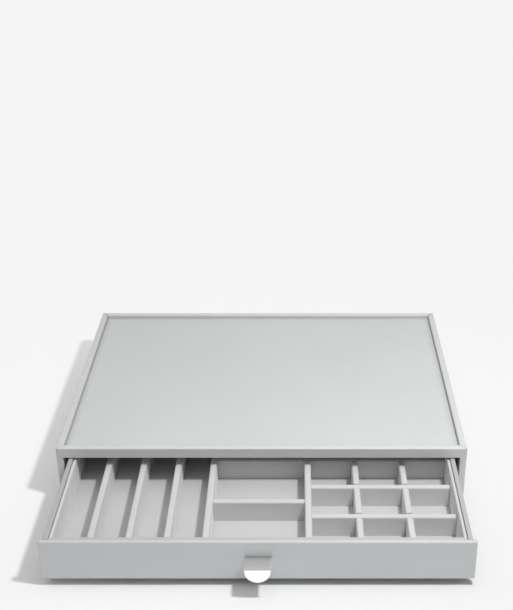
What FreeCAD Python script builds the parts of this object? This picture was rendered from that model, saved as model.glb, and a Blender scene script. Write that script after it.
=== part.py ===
import FreeCAD, Part
import os

# Stackable jewellery drawer: a low wrapped casing, open in front, with a shallow recess in its
# top that locates the next unit, and one inset drawer with a lined and divided tray.
# Millimetres. X runs to the right seen from the front, Y to the back, Z up.
# The origin is on the resting face, under the middle of the casing.

V = FreeCAD.Vector

# Casing
casing_width = 370.0
casing_depth = 270.0
casing_height = 55.0          # resting face to the top of the rim
casing_board = 6.0            # wrapped board of the sides, back and front rail
casing_round = 1.0            # soft edge of the wrapped boards
rail_height = 9.5             # front rail above the drawer opening
recess_depth = 3.2            # rim standing above the top panel
top_panel_thickness = 5.0
top_panel_round = 0.6
tongue_length = 2.0           # top panel's tongue, housed in the boards
tongue_thickness = 2.5
casing_floor_thickness = 3.2
rebate_depth = 2.0            # step in the boards that takes a floor board
glue_gap = 0.1                # room round a housed edge
panel_gap = 0.15              # shadow line between top panel and rim

# Base step, which drops into the recess of the unit below
base_step_thickness = 2.6
base_step_clearance = 1.2
base_step_corner = 4.0
base_step_round = 0.6

# Casing felt and the guide strips that keep the drawer straight
felt_thickness = 0.7
felt_gap = 0.3
felt_setback = 1.0
guide_width = 4.0
guide_height = 10.0
guide_clearance = 0.6         # guide to drawer side
guide_round = 0.8
stop_clearance = 0.6          # drawer front to guide ends, drawer shut

# Drawer
drawer_open = 118.0           # how far the drawer stands out as drawn
front_thickness = 5.0
front_side_gap = 1.6
front_top_gap = 1.1
front_bottom_gap = 0.4
front_round = 1.0             # edges of the face
front_rear_round = 1.6        # rear top edge
drawer_board = 4.0            # wrapped board of the drawer's sides and back
drawer_round = 0.8
drawer_lift = 0.3             # drawer box above the felt
side_drop = 0.5               # drawer sides below the top of the front
drawer_back_clearance = 2.0
drawer_floor_thickness = 3.2

# Tray: covered board and liner walls
tray_board_thickness = 4.2
liner_gap = 0.4               # shadow line between liner and drawer board
liner_thickness = 2.5
front_liner_thickness = 4.5
liner_drop = 1.7              # liner walls below the tops of the drawer boards
liner_round = 0.9

# Dividers
lane_count = 4
middle_count = 4
grid_columns = 3
grid_rows = 6
lane_divider_thickness = 5.7
main_divider_thickness = 6.0
cross_divider_thickness = 5.7
main_divider_height = 21.8    # lane and main dividers above the tray board
cross_divider_height = 19.8   # middle and grid dividers above the tray board
divider_round = 1.3
divider_fit = 0.1             # room at divider ends and in the halved joints
lanes_width = 120.7           # left liner to the left main divider
middle_width = 79.3           # between the two main dividers

# Handle: a bent metal tab, held by two screws from inside
handle_width = 21.0
handle_sheet = 1.2
handle_bend = 1.0             # inside radius of both bends
handle_reach = 16.0           # drawer front to the outer face of the lip
handle_below_top = 14.4       # top of the drawer front to the top of the arm
handle_lip_height = 13.2      # arm top to the lowest point of the lip
handle_leg_height = 12.0
handle_leg_corner = 1.5
screw_spacing = 11.0
screw_below_arm = 7.0
screw_radius = 1.45
screw_hole_radius = 1.6
screw_head_radius = 2.8
screw_head_thickness = 1.5
screw_head_gap = 0.2
screw_fit = 0.05              # thread allowance in the handle's leg

# Sizes that follow from the ones above
half_width = casing_width / 2
front_y = -casing_depth / 2
back_y = casing_depth / 2
inner_half = half_width - casing_board
inner_front_y = front_y + casing_board
inner_back_y = back_y - casing_board
body_bottom_z = base_step_thickness
rail_bottom_z = casing_height - rail_height
panel_top_z = casing_height - recess_depth
panel_bottom_z = panel_top_z - top_panel_thickness
casing_floor_z = body_bottom_z + casing_floor_thickness
felt_top_z = casing_floor_z + felt_thickness

front_half = inner_half - front_side_gap
front_bottom_z = felt_top_z + front_bottom_gap
front_top_z = rail_bottom_z - front_top_gap
box_half = inner_half - guide_width - guide_clearance
box_inner_half = box_half - drawer_board
box_bottom_z = felt_top_z + drawer_lift
box_top_z = front_top_z - side_drop
drawer_depth = casing_depth - casing_board - drawer_back_clearance
box_inner_depth = drawer_depth - drawer_board
drawer_floor_z = box_bottom_z + drawer_floor_thickness
tray_floor_z = drawer_floor_z + tray_board_thickness
liner_top_z = box_top_z - liner_drop

liner_half = box_inner_half - liner_gap
liner_front_y = front_thickness + liner_gap
liner_back_y = box_inner_depth - liner_gap
tray_half = liner_half - liner_thickness
tray_front_y = liner_front_y + front_liner_thickness
tray_back_y = liner_back_y - liner_thickness
tray_depth = tray_back_y - tray_front_y
main_top_z = tray_floor_z + main_divider_height
cross_top_z = tray_floor_z + cross_divider_height

lane_pitch = (lanes_width + lane_divider_thickness) / lane_count
main_left_x = -tray_half + lanes_width
middle_left_x = main_left_x + main_divider_thickness
middle_right_x = middle_left_x + middle_width
grid_left_x = middle_right_x + main_divider_thickness
column_pitch = (tray_half - grid_left_x + cross_divider_thickness) / grid_columns
row_pitch = (tray_depth + cross_divider_thickness) / grid_rows
middle_pitch = (tray_depth + cross_divider_thickness) / middle_count

drawer_shift = V(0, front_y - drawer_open, 0)


def block(x0, x1, y0, y1, z0, z1):
    return Part.makeBox(x1 - x0, y1 - y0, z1 - z0, V(x0, y0, z0))


def prism(points, z0, z1):
    corners = [V(x, y, z0) for x, y in points]
    return Part.Face(Part.makePolygon(corners + corners[:1])).extrude(V(0, 0, z1 - z0))


def near(a, b):
    return abs(a - b) < 1e-4


def runs_along(edge, axis):
    box = edge.BoundBox
    lengths = (box.XLength, box.YLength, box.ZLength)
    return all(near(length, 0) for i, length in enumerate(lengths) if i != axis)


def soften(solid, radius, pick):
    edges = [edge for edge in solid.Edges if pick(edge)]
    return solid.makeFillet(radius, edges).Solids[0]


def level_edges(z):
    return lambda edge: near(edge.BoundBox.ZMin, z) and near(edge.BoundBox.ZMax, z)


def mitre_zone(side, x_in, x_out, y0, y1, z0, z1):
    # The ground of one side wall, cut at 45 degrees through its rear corner
    points = [(side * x_out, y0), (side * x_out, y1), (side * x_in, y1 - (x_out - x_in)), (side * x_in, y0)]
    return prism(points, z0, z1)


def end_zone(half, y_out, y_in, z0, z1):
    # The ground of a front or back wall that is mitred at both ends
    step = abs(y_in - y_out)
    points = [(-half, y_out), (half, y_out), (half - step, y_in), (-half + step, y_in)]
    return prism(points, z0, z1)


def casing_shell():
    # The four wrapped walls in one, softly rounded, before they are parted at their seams
    shell = block(-half_width, half_width, front_y, back_y, body_bottom_z, casing_height)
    shell = shell.cut(block(-inner_half, inner_half, inner_front_y, inner_back_y,
                            body_bottom_z - 1, casing_height + 1))
    shell = shell.cut(block(-inner_half, inner_half, front_y - 1, inner_front_y + 1,
                            body_bottom_z - 1, rail_bottom_z))

    def wrapped(edge):
        box = edge.BoundBox
        outer_corner = runs_along(edge, 2) and near(abs(box.XMin), half_width)
        top_edge = near(box.ZMin, casing_height)
        in_front = near(box.YMin, front_y) and near(box.YMax, front_y)
        mouth_edge = in_front and not near(box.ZMax, body_bottom_z) and box.XMax <= inner_half + 0.01
        mouth_edge = mouth_edge and box.XMin >= -inner_half - 0.01
        return outer_corner or top_edge or mouth_edge

    return soften(shell, casing_round, wrapped)


def top_panel(room):
    # Panel with a tongue round its lower half; room widens it where it is used to cut the groove
    half = inner_half - panel_gap
    depth = inner_back_y - panel_gap
    body = block(-half, half, -depth, depth, panel_bottom_z, panel_top_z)
    reach = tongue_length - glue_gap + room
    tongue = block(-inner_half - reach, inner_half + reach, inner_front_y - reach, inner_back_y + reach,
                   panel_bottom_z - room, panel_bottom_z + tongue_thickness + room)
    if room:
        return tongue
    body = soften(body, top_panel_round, level_edges(panel_top_z))
    return body.fuse(tongue).removeSplitter().Solids[0]


def casing_floor(room):
    # Floor board between the side ends in front, and in a step of the boards behind them
    reach = rebate_depth - glue_gap + room
    low_z = body_bottom_z - (1 if room else 0)
    wide = block(-inner_half - reach, inner_half + reach, inner_front_y - room, inner_back_y + reach,
                 low_z, casing_floor_z + room)
    if room:
        return wide
    tongue = block(-inner_half, inner_half, front_y, inner_front_y + 1, body_bottom_z, casing_floor_z)
    board = tongue.fuse(wide).removeSplitter().Solids[0]

    def front_edges(edge):
        box = edge.BoundBox
        return runs_along(edge, 0) and near(box.YMin, front_y)

    return soften(board, casing_round, front_edges)


def casing_pieces():
    shell = casing_shell()
    shell = shell.cut(top_panel(glue_gap)).cut(casing_floor(glue_gap))
    rail_zone = end_zone(half_width, front_y, inner_front_y, rail_bottom_z, casing_height)
    back_zone = end_zone(half_width, back_y, inner_back_y, body_bottom_z, casing_height)
    pieces = {
        "casing_top_panel": top_panel(0),
        "casing_floor": casing_floor(0),
        "casing_front_rail": shell.common(rail_zone),
        "casing_back": shell.common(back_zone),
    }
    for name, side in (("casing_side_left", -1), ("casing_side_right", 1)):
        zone = mitre_zone(side, inner_half, half_width, front_y, back_y, body_bottom_z, casing_height)
        pieces[name] = shell.common(zone.cut(rail_zone))
    return pieces


def base_step():
    half = inner_half - base_step_clearance
    depth = inner_back_y - base_step_clearance
    step = block(-half, half, -depth, depth, 0, base_step_thickness)
    step = soften(step, base_step_corner, lambda edge: runs_along(edge, 2))
    return soften(step, base_step_round, level_edges(0))


def floor_felt():
    half = inner_half - guide_width - felt_gap
    return block(-half, half, front_y + felt_setback, inner_back_y - felt_gap, casing_floor_z, felt_top_z)


def guide_strip(side):
    # The front end stops the drawer front; the inner top edge is eased for the drawer side
    x_in = side * (inner_half - guide_width)
    x_out = side * inner_half
    start = front_y + front_thickness + stop_clearance
    strip = block(min(x_in, x_out), max(x_in, x_out), start, inner_back_y,
                  casing_floor_z, casing_floor_z + guide_height)

    def inner_edges(edge):
        box = edge.BoundBox
        along_top = runs_along(edge, 1) and near(box.ZMin, casing_floor_z + guide_height)
        at_entry = runs_along(edge, 2) and near(box.YMin, start)
        return (along_top or at_entry) and near(box.XMin, x_in)

    return soften(strip, guide_round, inner_edges)


def drawer_floor(room):
    # Floor board in a step of the drawer's boards, its underside level with theirs
    reach = rebate_depth - glue_gap + room
    low_z = box_bottom_z - (1 if room else 0)
    return block(-box_inner_half - reach, box_inner_half + reach, front_thickness - reach,
                 box_inner_depth + reach, low_z, drawer_floor_z + room)


def drawer_front():
    front = block(-front_half, front_half, 0, front_thickness, front_bottom_z, front_top_z)

    def face_edges(edge):
        box = edge.BoundBox
        return near(box.YMax, 0) and near(box.YMin, 0)

    def rear_top_edge(edge):
        box = edge.BoundBox
        return runs_along(edge, 0) and near(box.YMin, front_thickness) and near(box.ZMin, front_top_z)

    front = soften(front, front_round, face_edges)
    front = soften(front, front_rear_round, rear_top_edge)
    front = front.cut(drawer_floor(glue_gap))
    for x, z in screw_places():
        hole = Part.makeCylinder(screw_hole_radius, front_thickness + 2, V(x, -1, z), V(0, 1, 0))
        head_room = screw_head_thickness + screw_head_gap
        sink = Part.makeCylinder(screw_head_radius + screw_head_gap, head_room + 1,
                                 V(x, front_thickness - head_room, z), V(0, 1, 0))
        front = front.cut(hole).cut(sink)
    return front


def drawer_boards():
    # Sides and back as one wrapped strip, then parted at the rear mitres
    strip = block(-box_half, box_half, front_thickness, drawer_depth, box_bottom_z, box_top_z)
    strip = strip.cut(block(-box_inner_half, box_inner_half, front_thickness - 1, box_inner_depth,
                            box_bottom_z - 1, box_top_z + 1))

    def wrapped(edge):
        box = edge.BoundBox
        along_top = near(box.ZMin, box_top_z) and not near(box.YMax, front_thickness)
        rear_corner = runs_along(edge, 2) and near(box.YMin, drawer_depth)
        return along_top or rear_corner

    strip = soften(strip, drawer_round, wrapped)
    strip = strip.cut(drawer_floor(glue_gap))
    pieces = {"drawer_back": strip.common(end_zone(box_half, drawer_depth, box_inner_depth,
                                                   box_bottom_z, box_top_z))}
    for name, side in (("drawer_side_left", -1), ("drawer_side_right", 1)):
        zone = mitre_zone(side, box_inner_half, box_half, front_thickness, drawer_depth,
                          box_bottom_z, box_top_z)
        pieces[name] = strip.common(zone)
    return pieces


def lined_board(x0, x1, y0, y1, top_z, radius):
    # A lined board on edge on the tray board, rounded along both long top edges
    board = block(x0, x1, y0, y1, tray_floor_z, top_z)
    axis = 0 if x1 - x0 > y1 - y0 else 1
    return soften(board, radius, lambda edge: runs_along(edge, axis) and near(edge.BoundBox.ZMin, top_z))


def tray_liners():
    # Four lined walls; each is cut from its outer to its inner corners, so that the thicker front one meets the others
    front_left, front_right = (-liner_half, liner_front_y), (liner_half, liner_front_y)
    back_left, back_right = (-liner_half, liner_back_y), (liner_half, liner_back_y)
    inner_front_left, inner_front_right = (-tray_half, tray_front_y), (tray_half, tray_front_y)
    inner_back_left, inner_back_right = (-tray_half, tray_back_y), (tray_half, tray_back_y)
    corners = {
        "liner_front": (front_left, front_right, inner_front_right, inner_front_left),
        "liner_back": (back_left, back_right, inner_back_right, inner_back_left),
        "liner_left": (front_left, back_left, inner_back_left, inner_front_left),
        "liner_right": (front_right, back_right, inner_back_right, inner_front_right),
    }
    pieces = {}
    for name, points in corners.items():
        x, y = zip(*points)
        board = lined_board(min(x), max(x), min(y), max(y), liner_top_z, liner_round)
        pieces[name] = board.common(prism(points, tray_floor_z - 1, liner_top_z + 1))
    return pieces


def lengthwise_divider(x, thickness, top_z):
    return lined_board(x, x + thickness, tray_front_y + divider_fit, tray_back_y - divider_fit,
                       top_z, divider_round)


def cross_divider_y(row, pitch):
    return tray_front_y + row * pitch - cross_divider_thickness


def grid_divider_x(column):
    return grid_left_x + column * column_pitch - cross_divider_thickness


def halving_slot(x, y, through, z0, z1):
    # The room where a lengthwise and a cross divider pass; it runs out of the board along axis through
    near_side = [x - divider_fit, y - divider_fit]
    far_side = [x + cross_divider_thickness + divider_fit, y + cross_divider_thickness + divider_fit]
    near_side[through] -= 1
    far_side[through] += 1
    return block(near_side[0], far_side[0], near_side[1], far_side[1], z0, z1)


def tray_dividers():
    pieces = {}
    for i in range(1, lane_count):
        x = -tray_half + i * lane_pitch - lane_divider_thickness
        pieces["lane_divider_%d" % i] = lengthwise_divider(x, lane_divider_thickness, main_top_z)
    pieces["main_divider_left"] = lengthwise_divider(main_left_x, main_divider_thickness, main_top_z)
    pieces["main_divider_right"] = lengthwise_divider(middle_right_x, main_divider_thickness, main_top_z)
    for i in range(1, middle_count):
        y = cross_divider_y(i, middle_pitch)
        pieces["middle_divider_%d" % i] = lined_board(middle_left_x + divider_fit, middle_right_x - divider_fit,
                                                      y, y + cross_divider_thickness, cross_top_z, divider_round)
    lap_z = tray_floor_z + cross_divider_height / 2
    for column in range(1, grid_columns):
        x = grid_divider_x(column)
        board = lengthwise_divider(x, cross_divider_thickness, cross_top_z)
        for row in range(1, grid_rows):
            board = board.cut(halving_slot(x, cross_divider_y(row, row_pitch), 0, lap_z, cross_top_z + 1))
        pieces["grid_divider_long_%d" % column] = board
    for row in range(1, grid_rows):
        y = cross_divider_y(row, row_pitch)
        board = lined_board(grid_left_x + divider_fit, tray_half - divider_fit,
                            y, y + cross_divider_thickness, cross_top_z, divider_round)
        for column in range(1, grid_columns):
            x = grid_divider_x(column)
            board = board.cut(halving_slot(x, y, 1, tray_floor_z - 1, lap_z + divider_fit))
        pieces["grid_divider_cross_%d" % row] = board
    return pieces


def screw_places():
    arm_z = front_top_z - handle_below_top
    return [(side * screw_spacing / 2, arm_z - screw_below_arm) for side in (-1, 1)]


def bend_arc(y, z, radius, start_quarter):
    # Quarter circle about (y, z) in the YZ plane, from one quarter mark to the next
    marks = [(0, 1), (-1, 0), (0, -1), (1, 0)]
    a = marks[start_quarter % 4]
    b = marks[(start_quarter + 1) % 4]
    half = 0.5 ** 0.5
    middle = ((a[0] + b[0]) * half, (a[1] + b[1]) * half)
    return Part.Arc(V(0, y + radius * a[0], z + radius * a[1]),
                    V(0, y + radius * middle[0], z + radius * middle[1]),
                    V(0, y + radius * b[0], z + radius * b[1])).toShape()


def line(y0, z0, y1, z1):
    return Part.LineSegment(V(0, y0, z0), V(0, y1, z1)).toShape()


def handle():
    # Bent strip: leg on the drawer front, arm straight out, lip hanging with a half round end
    top_z = front_top_z - handle_below_top
    outer = handle_bend + handle_sheet
    bend_z = top_z - outer
    lip_y = -handle_reach
    lip_bottom_z = top_z - handle_lip_height
    leg_bottom_z = top_z - handle_leg_height
    edges = [
        line(0, leg_bottom_z, 0, bend_z),
        bend_arc(-outer, bend_z, outer, 3),
        line(-outer, top_z, lip_y + outer, top_z),
        bend_arc(lip_y + outer, bend_z, outer, 0),
        line(lip_y, bend_z, lip_y, lip_bottom_z),
        line(lip_y, lip_bottom_z, lip_y + handle_sheet, lip_bottom_z),
        line(lip_y + handle_sheet, lip_bottom_z, lip_y + handle_sheet, bend_z),
        bend_arc(lip_y + outer, bend_z, handle_bend, 0),
        line(lip_y + outer, top_z - handle_sheet, -outer, top_z - handle_sheet),
        bend_arc(-outer, bend_z, handle_bend, 3),
        line(-handle_sheet, bend_z, -handle_sheet, leg_bottom_z),
        line(-handle_sheet, leg_bottom_z, 0, leg_bottom_z),
    ]
    face = Part.Face(Part.Wire(Part.__sortEdges__(edges)))
    strip = face.extrude(V(handle_width, 0, 0))
    strip.translate(V(-handle_width / 2, 0, 0))
    round_radius = handle_width / 2
    round_z = lip_bottom_z + round_radius
    lip_corners = block(-handle_width, handle_width, lip_y - 1, lip_y + handle_sheet + 1,
                        lip_bottom_z - 1, round_z)
    lip_end = Part.makeCylinder(round_radius, handle_sheet + 4, V(0, lip_y - 2, round_z), V(0, 1, 0))
    strip = strip.cut(lip_corners.cut(lip_end))

    def leg_corner(edge):
        box = edge.BoundBox
        return runs_along(edge, 1) and near(box.ZMin, leg_bottom_z) and box.YMin > -2 * handle_sheet

    strip = soften(strip, handle_leg_corner, leg_corner)
    for x, z in screw_places():
        hole = Part.makeCylinder(screw_radius + screw_fit, handle_sheet + 2,
                                 V(x, -handle_sheet - 1, z), V(0, 1, 0))
        strip = strip.cut(hole)
    return strip


def handle_screws():
    # Pan head screws: head in the sunk hole of the drawer front, thread in the handle's leg
    screws = []
    for x, z in screw_places():
        head_y = front_thickness - screw_head_gap
        shank = Part.makeCylinder(screw_radius, head_y + handle_sheet - screw_head_gap,
                                  V(x, -handle_sheet + screw_head_gap, z), V(0, 1, 0))
        head = Part.makeCylinder(screw_head_radius, screw_head_thickness,
                                 V(x, head_y - screw_head_thickness, z), V(0, 1, 0))
        head = soften(head, screw_head_thickness / 2,
                      lambda edge: near(edge.BoundBox.YMin, head_y) and near(edge.BoundBox.YMax, head_y))
        screws.append(shank.fuse(head).removeSplitter().Solids[0])
    return Part.makeCompound(screws)


def drawer_pieces():
    pieces = {
        "drawer_front": drawer_front(),
        "drawer_floor": drawer_floor(0),
        "tray_board": block(-liner_half, liner_half, liner_front_y, liner_back_y,
                            drawer_floor_z, tray_floor_z),
        "handle": handle(),
        "handle_screws": handle_screws(),
    }
    pieces.update(drawer_boards())
    pieces.update(tray_liners())
    pieces.update(tray_dividers())
    for shape in pieces.values():
        shape.translate(drawer_shift)
    return pieces


def all_pieces():
    pieces = casing_pieces()
    pieces["base_step"] = base_step()
    pieces["casing_floor_felt"] = floor_felt()
    pieces["casing_guide_left"] = guide_strip(-1)
    pieces["casing_guide_right"] = guide_strip(1)
    pieces.update(drawer_pieces())
    return pieces


parts = all_pieces()
os.makedirs("parts", exist_ok=True)
for name, shape in sorted(parts.items()):
    solids = shape.Solids
    print("%-22s %d solid  %9.1f mm3  valid %s" % (name, len(solids), shape.Volume, shape.isValid()))
    shape = solids[0] if len(solids) == 1 else Part.makeCompound(solids)
    shape.exportStep(os.path.join("parts", name + ".step"))
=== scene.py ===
import bpy
import math
import numpy as np
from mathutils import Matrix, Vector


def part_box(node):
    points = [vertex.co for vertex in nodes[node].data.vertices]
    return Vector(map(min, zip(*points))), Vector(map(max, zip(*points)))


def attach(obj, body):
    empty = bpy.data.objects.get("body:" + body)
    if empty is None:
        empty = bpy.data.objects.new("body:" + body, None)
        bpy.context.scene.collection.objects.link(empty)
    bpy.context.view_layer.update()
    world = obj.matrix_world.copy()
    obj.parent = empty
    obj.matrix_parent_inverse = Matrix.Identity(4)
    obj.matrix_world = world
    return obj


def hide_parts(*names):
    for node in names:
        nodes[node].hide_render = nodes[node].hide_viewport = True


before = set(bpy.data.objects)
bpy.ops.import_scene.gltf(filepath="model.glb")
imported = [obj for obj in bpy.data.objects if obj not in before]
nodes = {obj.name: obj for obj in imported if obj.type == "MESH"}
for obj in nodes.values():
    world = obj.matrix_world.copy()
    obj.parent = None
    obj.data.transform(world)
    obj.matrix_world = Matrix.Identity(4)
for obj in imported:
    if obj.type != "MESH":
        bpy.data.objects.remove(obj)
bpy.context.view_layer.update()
# Lengths are in metres. roundSteps is the number of steps over a rounded edge; edgeSteps are shares of a
# radius at which more lines are set, where one set of lines serves two edges of different radius. An edge
# is drawn sharp from creaseAngle, in degrees
roundSteps = 4
edgeSteps = np.array([1, 0.7, 0.4, 0.2])
creaseAngle = 35


def gridLines(low, high, lowRound, highRound, cells, extra=()):
    # Places of the grid lines along one side: even angles over each rounded edge, one line just inside
    # each, then even cells
    turn = 1 - np.tan(np.linspace(math.pi / 4, 0, roundSteps + 1))
    lowEdge = low + lowRound * turn
    highEdge = high - highRound * turn
    inside = np.linspace(lowEdge[-1], highEdge[-1], cells + 1)
    guard = min(0.15 * (inside[1] - inside[0]), 0.0004)
    inner = [inside[0] + guard, inside[-1] - guard]
    return np.unique(np.round(np.concatenate([lowEdge, highEdge, inside, inner, extra]), 8))


def gridBlock(xLines, yLines, zLines):
    # The skin of a block on three sets of lines: point (i, j, k) is (x[i], y[j], z[k]) wherever one of the
    # three is a first or last line, and each of the six sides is a sheet of quads
    counts = [len(line) for line in (xLines, yLines, zLines)]
    keys = []
    quads = []
    for axis in range(3):
        u, v = (axis + 1) % 3, (axis + 2) % 3
        for side in (0, 1):
            index = [None, None, None]
            index[u], index[v] = np.meshgrid(np.arange(counts[u]), np.arange(counts[v]), indexing="ij")
            index[axis] = np.full_like(index[u], side * (counts[axis] - 1))
            key = (index[0] * counts[1] + index[1]) * counts[2] + index[2]
            sheet = np.stack([key[:-1, :-1], key[1:, :-1], key[1:, 1:], key[:-1, 1:]], -1).reshape(-1, 4)
            quads.append(sheet if side else sheet[:, ::-1])
            keys.append(key.ravel())
    used = np.unique(np.concatenate(keys))
    points = np.stack([xLines[used // (counts[1] * counts[2])],
                       yLines[used // counts[2] % counts[1]],
                       zLines[used % counts[2]]], -1)
    return points, np.searchsorted(used, np.concatenate(quads))


def roundEdge(points, edge, axes, corner, away, radius, where=None):
    # Square corner to quarter circle: with a and b the distances past the circle's centre along both
    # axes, a point keeps its direction and its distance becomes the larger of a and b
    a = (points[:, axes[0]] - corner[0]) * away[0] + radius
    b = (points[:, axes[1]] - corner[1]) * away[1] + radius
    inside = (a > 1e-9) & (b > 1e-9)
    if where is not None:
        inside &= where
    scale = np.maximum(a, b) / np.hypot(a, b).clip(1e-12)
    for axis, place, way, reach in ((axes[0], corner[0], away[0], a), (axes[1], corner[1], away[1], b)):
        moved = place + way * (reach * scale - radius)
        points[:, axis] = np.where(inside, moved, points[:, axis])
    edge[:] = np.maximum(edge, np.where(inside, np.minimum(a, b) / radius, 0))


def ripple(points, size, wave, seed):
    # Slow unevenness of a hand covered board: three crossing sine waves with seeded directions
    draw = np.random.default_rng(seed)
    ways = draw.normal(size=(3, 3))
    ways /= np.linalg.norm(ways, axis=1)[:, None]
    phase = draw.uniform(0, 2 * math.pi, 3)
    return size * np.sin(points @ ways.T * (2 * math.pi / wave) + phase).mean(axis=1)


def ease(t):
    # Runs smoothly from 0 to 1
    t = np.clip(t, 0, 1)
    return t * t * (3 - 2 * t)


def ringShell(rings):
    # Closed skin over rings of points: quads from ring to ring, and a fan to a middle point at both ends
    count, around = rings.shape[:2]
    points = np.concatenate([rings.reshape(-1, 3), rings[0].mean(0)[None], rings[-1].mean(0)[None]])
    i, j = np.meshgrid(np.arange(count - 1), np.arange(around), indexing="ij")
    k = (j + 1) % around
    quads = np.stack([i * around + j, i * around + k, (i + 1) * around + k, (i + 1) * around + j], -1)
    j = np.arange(around)
    k = (j + 1) % around
    first = np.stack([k, j, np.full_like(j, count * around)], -1)
    last = np.stack([j, k, np.full_like(j, count * around + 1)], -1) + [[(count - 1) * around] * 2 + [0]]
    return points, quads.reshape(-1, 4).tolist() + first.tolist() + last.tolist()


def newObject(name, data):
    # An object with this data, put in the scene
    item = bpy.data.objects.new(name, data)
    bpy.context.scene.collection.objects.link(item)
    return item


def makePiece(name, points, faces, marks=None, sharpAngle=creaseAngle):
    # Smooth mesh with edges sharp above an angle; marks are one number per point, such as edge and
    # seam, which carries seams and painted shade
    mesh = bpy.data.meshes.new(name)
    mesh.from_pydata(points.tolist(), [], faces if isinstance(faces, list) else faces.tolist())
    mesh.polygons.foreach_set("use_smooth", np.ones(len(mesh.polygons), bool))
    mesh.set_sharp_from_angle(angle=math.radians(sharpAngle))
    for label, values in (marks or {}).items():
        mark = mesh.attributes.new(label, "FLOAT", "POINT")
        mark.data.foreach_set("value", values.astype(np.float32))
    mesh.update()
    return newObject(name, mesh)


def drillHoles(piece, places, steps, sharpAngle=creaseAngle):
    # Stepped round holes along Y, each a tube through (distance along Y, radius) steps
    sides = 32
    angle = np.linspace(0, 2 * math.pi, sides + 1)[:-1]
    for x, z in places:
        rings = np.stack([np.stack([x + r * np.cos(angle), np.full(sides, y), z + r * np.sin(angle)], -1)
                          for y, r in steps])
        points, faces = ringShell(rings)
        drill = makePiece("drill", points, faces)
        cut = piece.modifiers.new("hole", "BOOLEAN")
        cut.operation = "DIFFERENCE"
        cut.solver = "EXACT"
        cut.object = drill
        bpy.context.view_layer.update()
        drilled = piece.evaluated_get(bpy.context.evaluated_depsgraph_get())
        cutMesh = bpy.data.meshes.new_from_object(drilled)
        piece.modifiers.clear()
        oldMesh = piece.data
        piece.data = cutMesh
        bpy.data.meshes.remove(oldMesh)
        bpy.data.meshes.remove(drill.data)
    piece.data.set_sharp_from_angle(angle=math.radians(sharpAngle))
    piece.data.name = piece.name


def pieceName(node):
    # lane_divider_1 gives laneDivider1
    first, *rest = node.split("_")
    return first + "".join(word.capitalize() for word in rest)


def place(piece, body, node, slotName, material):
    # The piece takes its node's place on a body
    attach(piece, body)
    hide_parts(node)
    piece.data.materials.append(material)


def span(node):
    # Lowest and highest corner of a node
    low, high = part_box(node)
    return np.array(low), np.array(high)


def newGroup(name, inputs):
    # A surface effect: colours (given as tuples) and numbers go in; colour, roughness and height come out
    group = bpy.data.node_groups.new(name, "ShaderNodeTree")
    for label, value in inputs.items():
        kind = "NodeSocketColor" if isinstance(value, tuple) else "NodeSocketFloat"
        group.interface.new_socket(name=label, in_out="INPUT", socket_type=kind).default_value = value
    for label, kind in (("Color", "NodeSocketColor"), ("Roughness", "NodeSocketFloat"),
                        ("Height", "NodeSocketFloat")):
        group.interface.new_socket(name=label, in_out="OUTPUT", socket_type=kind)
    return group, group.nodes.new("NodeGroupInput").outputs


def closeGroup(group, color, rough, height):
    # Joins the three results to the group's outputs
    out = group.nodes.new("NodeGroupOutput").inputs
    for label, value in (("Color", color), ("Roughness", rough), ("Height", height)):
        group.links.new(value, out[label])
    return group


def addNode(tree, kind, inputs=None, **settings):
    # A node whose inputs are linked or set to a value
    node = tree.nodes.new(kind)
    for key, value in settings.items():
        setattr(node, key, value)
    for key, value in (inputs or {}).items():
        if isinstance(value, bpy.types.NodeSocket):
            tree.links.new(value, node.inputs[key])
        else:
            node.inputs[key].default_value = value
    return node


def mathNode(tree, operation, *values):
    # One calculation on up to three values
    return addNode(tree, "ShaderNodeMath", dict(enumerate(values)), operation=operation).outputs[0]


def mixColor(tree, factor, a, b, blend="MIX"):
    # a at factor 0, b at factor 1
    node = addNode(tree, "ShaderNodeMix", {0: factor, 6: a, 7: b}, data_type="RGBA", blend_type=blend)
    return node.outputs[2]


def remap(tree, value, low, high, toLow=0.0, toHigh=1.0):
    # low to high becomes toLow to toHigh, and values beyond are held there
    inputs = {"Value": value, "From Min": low, "From Max": high, "To Min": toLow, "To Max": toHigh}
    return addNode(tree, "ShaderNodeMapRange", inputs).outputs["Result"]


def noise(tree, vector, scale, detail=3.0, roughness=0.55):
    # Smooth random value, mostly from 0.3 to 0.7
    inputs = {"Vector": vector, "Scale": scale, "Detail": detail, "Roughness": roughness}
    return addNode(tree, "ShaderNodeTexNoise", inputs).outputs["Fac"]


def objectSpot(tree):
    # Place on the piece, in metres
    return addNode(tree, "ShaderNodeTexCoord").outputs["Object"]


def stretched(tree, scale):
    # Place on the piece times a scale for each axis
    return addNode(tree, "ShaderNodeMapping", {"Vector": objectSpot(tree), "Scale": scale}).outputs[0]


def pointMark(tree, name):
    # A number that the mesh carries at each point
    return addNode(tree, "ShaderNodeAttribute", attribute_name=name).outputs["Fac"]


def grey(tree, value):
    # Colour with all three parts equal
    return addNode(tree, "ShaderNodeCombineXYZ", {0: value, 1: value, 2: value}).outputs[0]


# Scales are counts per metre, bendSize is a length, and the others are shares of the relief or the tone
grainLook = {"bendScale": 420.0, "bendSize": 0.0009, "creaseWidth": 0.16, "creaseDepth": 0.45,
             "domeHeight": 0.55, "poreScale": 5200.0, "poreHeight": 0.2, "rubScale": 160.0,
             "driftScale": 14.0, "drift": 0.015}


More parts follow.
